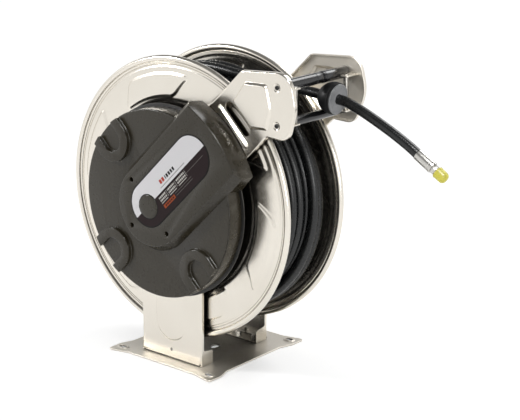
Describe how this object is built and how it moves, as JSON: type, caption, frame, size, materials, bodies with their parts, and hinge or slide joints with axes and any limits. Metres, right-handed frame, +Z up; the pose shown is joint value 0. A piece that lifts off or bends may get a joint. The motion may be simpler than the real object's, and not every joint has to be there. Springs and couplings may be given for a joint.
{
  "type": "spring-rewind hose reel",
  "caption": "Spring-rewind hose reel on two pedestals, with ratchet, roller guide arms, water swivel, and rubber hose with a ball stop.",
  "frame": {"origin": "middle of the base plate's underside, where the four fixing slots centre", "axes": "+Z up, +X the way the hose leaves, +Y along the reel's axis from the spring side to the inlet side"},
  "size_m": [0.8941, 0.3518, 0.6722],
  "materials": {
    "stainless_sheet": "satin stainless sheet",
    "zinc_fasteners": "bright zinc-plated steel",
    "turned_steel": "turned steel",
    "black_steel": "black powder coat",
    "cast_housing": "cast, lightly oiled",
    "bronze": "sintered bronze",
    "brass": "turned brass",
    "spring_steel": "blued spring strip",
    "cover_plastic": "fine-grained moulded plastic",
    "black_screws": "black oxide",
    "panel_print": "printed film, two colours, no words",
    "roller_plastic": "black nylon",
    "stop_rubber": "moulded black rubber",
    "stop_face": "grey plastic",
    "hose_rubber": "black rubber cover with cloth imprint",
    "seal_rubber": "nitrile rubber",
    "cap_plastic": "yellow polyethylene"
  },
  "bodies": {
    "root": {"base_plate": "stainless_sheet", "near_pedestal": "stainless_sheet", "far_pedestal": "stainless_sheet", "pedestal_bolts": "zinc_fasteners", "near_bearing_flange": "cast_housing", "far_bearing_flange": "cast_housing", "near_bush": "bronze", "far_bush": "bronze", "bearing_bolts": "zinc_fasteners", "bearing_nuts": "zinc_fasteners", "pawl_pin": "zinc_fasteners", "pawl_spring": "turned_steel", "spring_can": "black_steel", "mainspring": "spring_steel", "spring_cover": "cover_plastic", "cover_screws": "zinc_fasteners", "arm_cover": "cover_plastic", "arm_cover_screws": "black_screws", "name_panel": "panel_print", "hub_plug": "cover_plastic", "near_arm": "stainless_sheet", "far_arm": "stainless_sheet", "roller_bolts": "zinc_fasteners", "upper_shaft": "turned_steel", "lower_shaft": "turned_steel", "roller_collar": "roller_plastic", "upright_pins": "zinc_fasteners", "hose_winding": "hose_rubber", "hose_run": "hose_rubber", "stop_half_near": "stop_rubber", "stop_half_far": "stop_rubber", "stop_screws": "zinc_fasteners", "stop_plate": "stop_face", "hose_tail": "hose_rubber", "hose_ferrule": "zinc_fasteners", "end_fitting": "zinc_fasteners"},
    "reel": {"near_disc": "stainless_sheet", "far_disc": "stainless_sheet", "drum": "black_steel", "near_hub": "cast_housing", "far_hub": "cast_housing", "hub_bolts": "zinc_fasteners", "drum_bolts": "zinc_fasteners", "drum_nuts": "zinc_fasteners", "shaft": "turned_steel", "shaft_circlips": "turned_steel", "riser_pipe": "brass", "latch_ring": "turned_steel", "spring_arbor": "turned_steel", "hose_core": "hose_rubber"},
    "pawl": {"pawl": "turned_steel"},
    "upper_roller_near": {"upper_roller_near": "roller_plastic"},
    "upper_roller_far": {"upper_roller_far": "roller_plastic"},
    "lower_roller": {"lower_roller": "roller_plastic"},
    "upright_roller_near": {"upright_roller_near": "turned_steel"},
    "upright_roller_far": {"upright_roller_far": "turned_steel"},
    "swivel": {"swivel_body": "brass", "swivel_seals": "seal_rubber", "inlet_fitting": "brass"},
    "end_cap": {"end_cap": "cap_plastic"}
  },
  "joints": [
    {"name": "reel_spin", "type": "hinge", "parent": "root", "child": "reel", "pos_m": [0, -0.004, 0.361], "axis": [0, 1, 0], "range_deg": [0, 6750]},
    {"name": "pawl_swing", "type": "hinge", "parent": "root", "child": "pawl", "pos_m": [-0.0383, -0.1, 0.2558], "axis": [0, -1, 0], "range_deg": [0, 12], "stiffness_Nm_per_rad": 0.2},
    {"name": "upper_roller_near_spin", "type": "hinge", "parent": "root", "child": "upper_roller_near", "pos_m": [0.2865, -0.05, 0.642], "axis": [0, 1, 0], "continuous": true},
    {"name": "upper_roller_far_spin", "type": "hinge", "parent": "root", "child": "upper_roller_far", "pos_m": [0.2865, 0.07, 0.642], "axis": [0, 1, 0], "continuous": true},
    {"name": "lower_roller_spin", "type": "hinge", "parent": "root", "child": "lower_roller", "pos_m": [0.2865, 0, 0.5655], "axis": [0, 1, 0], "continuous": true},
    {"name": "upright_roller_near_spin", "type": "hinge", "parent": "root", "child": "upright_roller_near", "pos_m": [0.308, -0.088, 0.602], "axis": [0, 0, 1], "continuous": true},
    {"name": "upright_roller_far_spin", "type": "hinge", "parent": "root", "child": "upright_roller_far", "pos_m": [0.308, 0.08, 0.602], "axis": [0, 0, 1], "continuous": true},
    {"name": "swivel_spin", "type": "hinge", "parent": "root", "child": "swivel", "pos_m": [0, 0.135, 0.361], "axis": [0, 1, 0], "continuous": true},
    {"name": "cap_pull", "type": "slide", "parent": "root", "child": "end_cap", "axis": [0.8572, 0, -0.515], "range_m": [0, 0.03]}
  ]
}
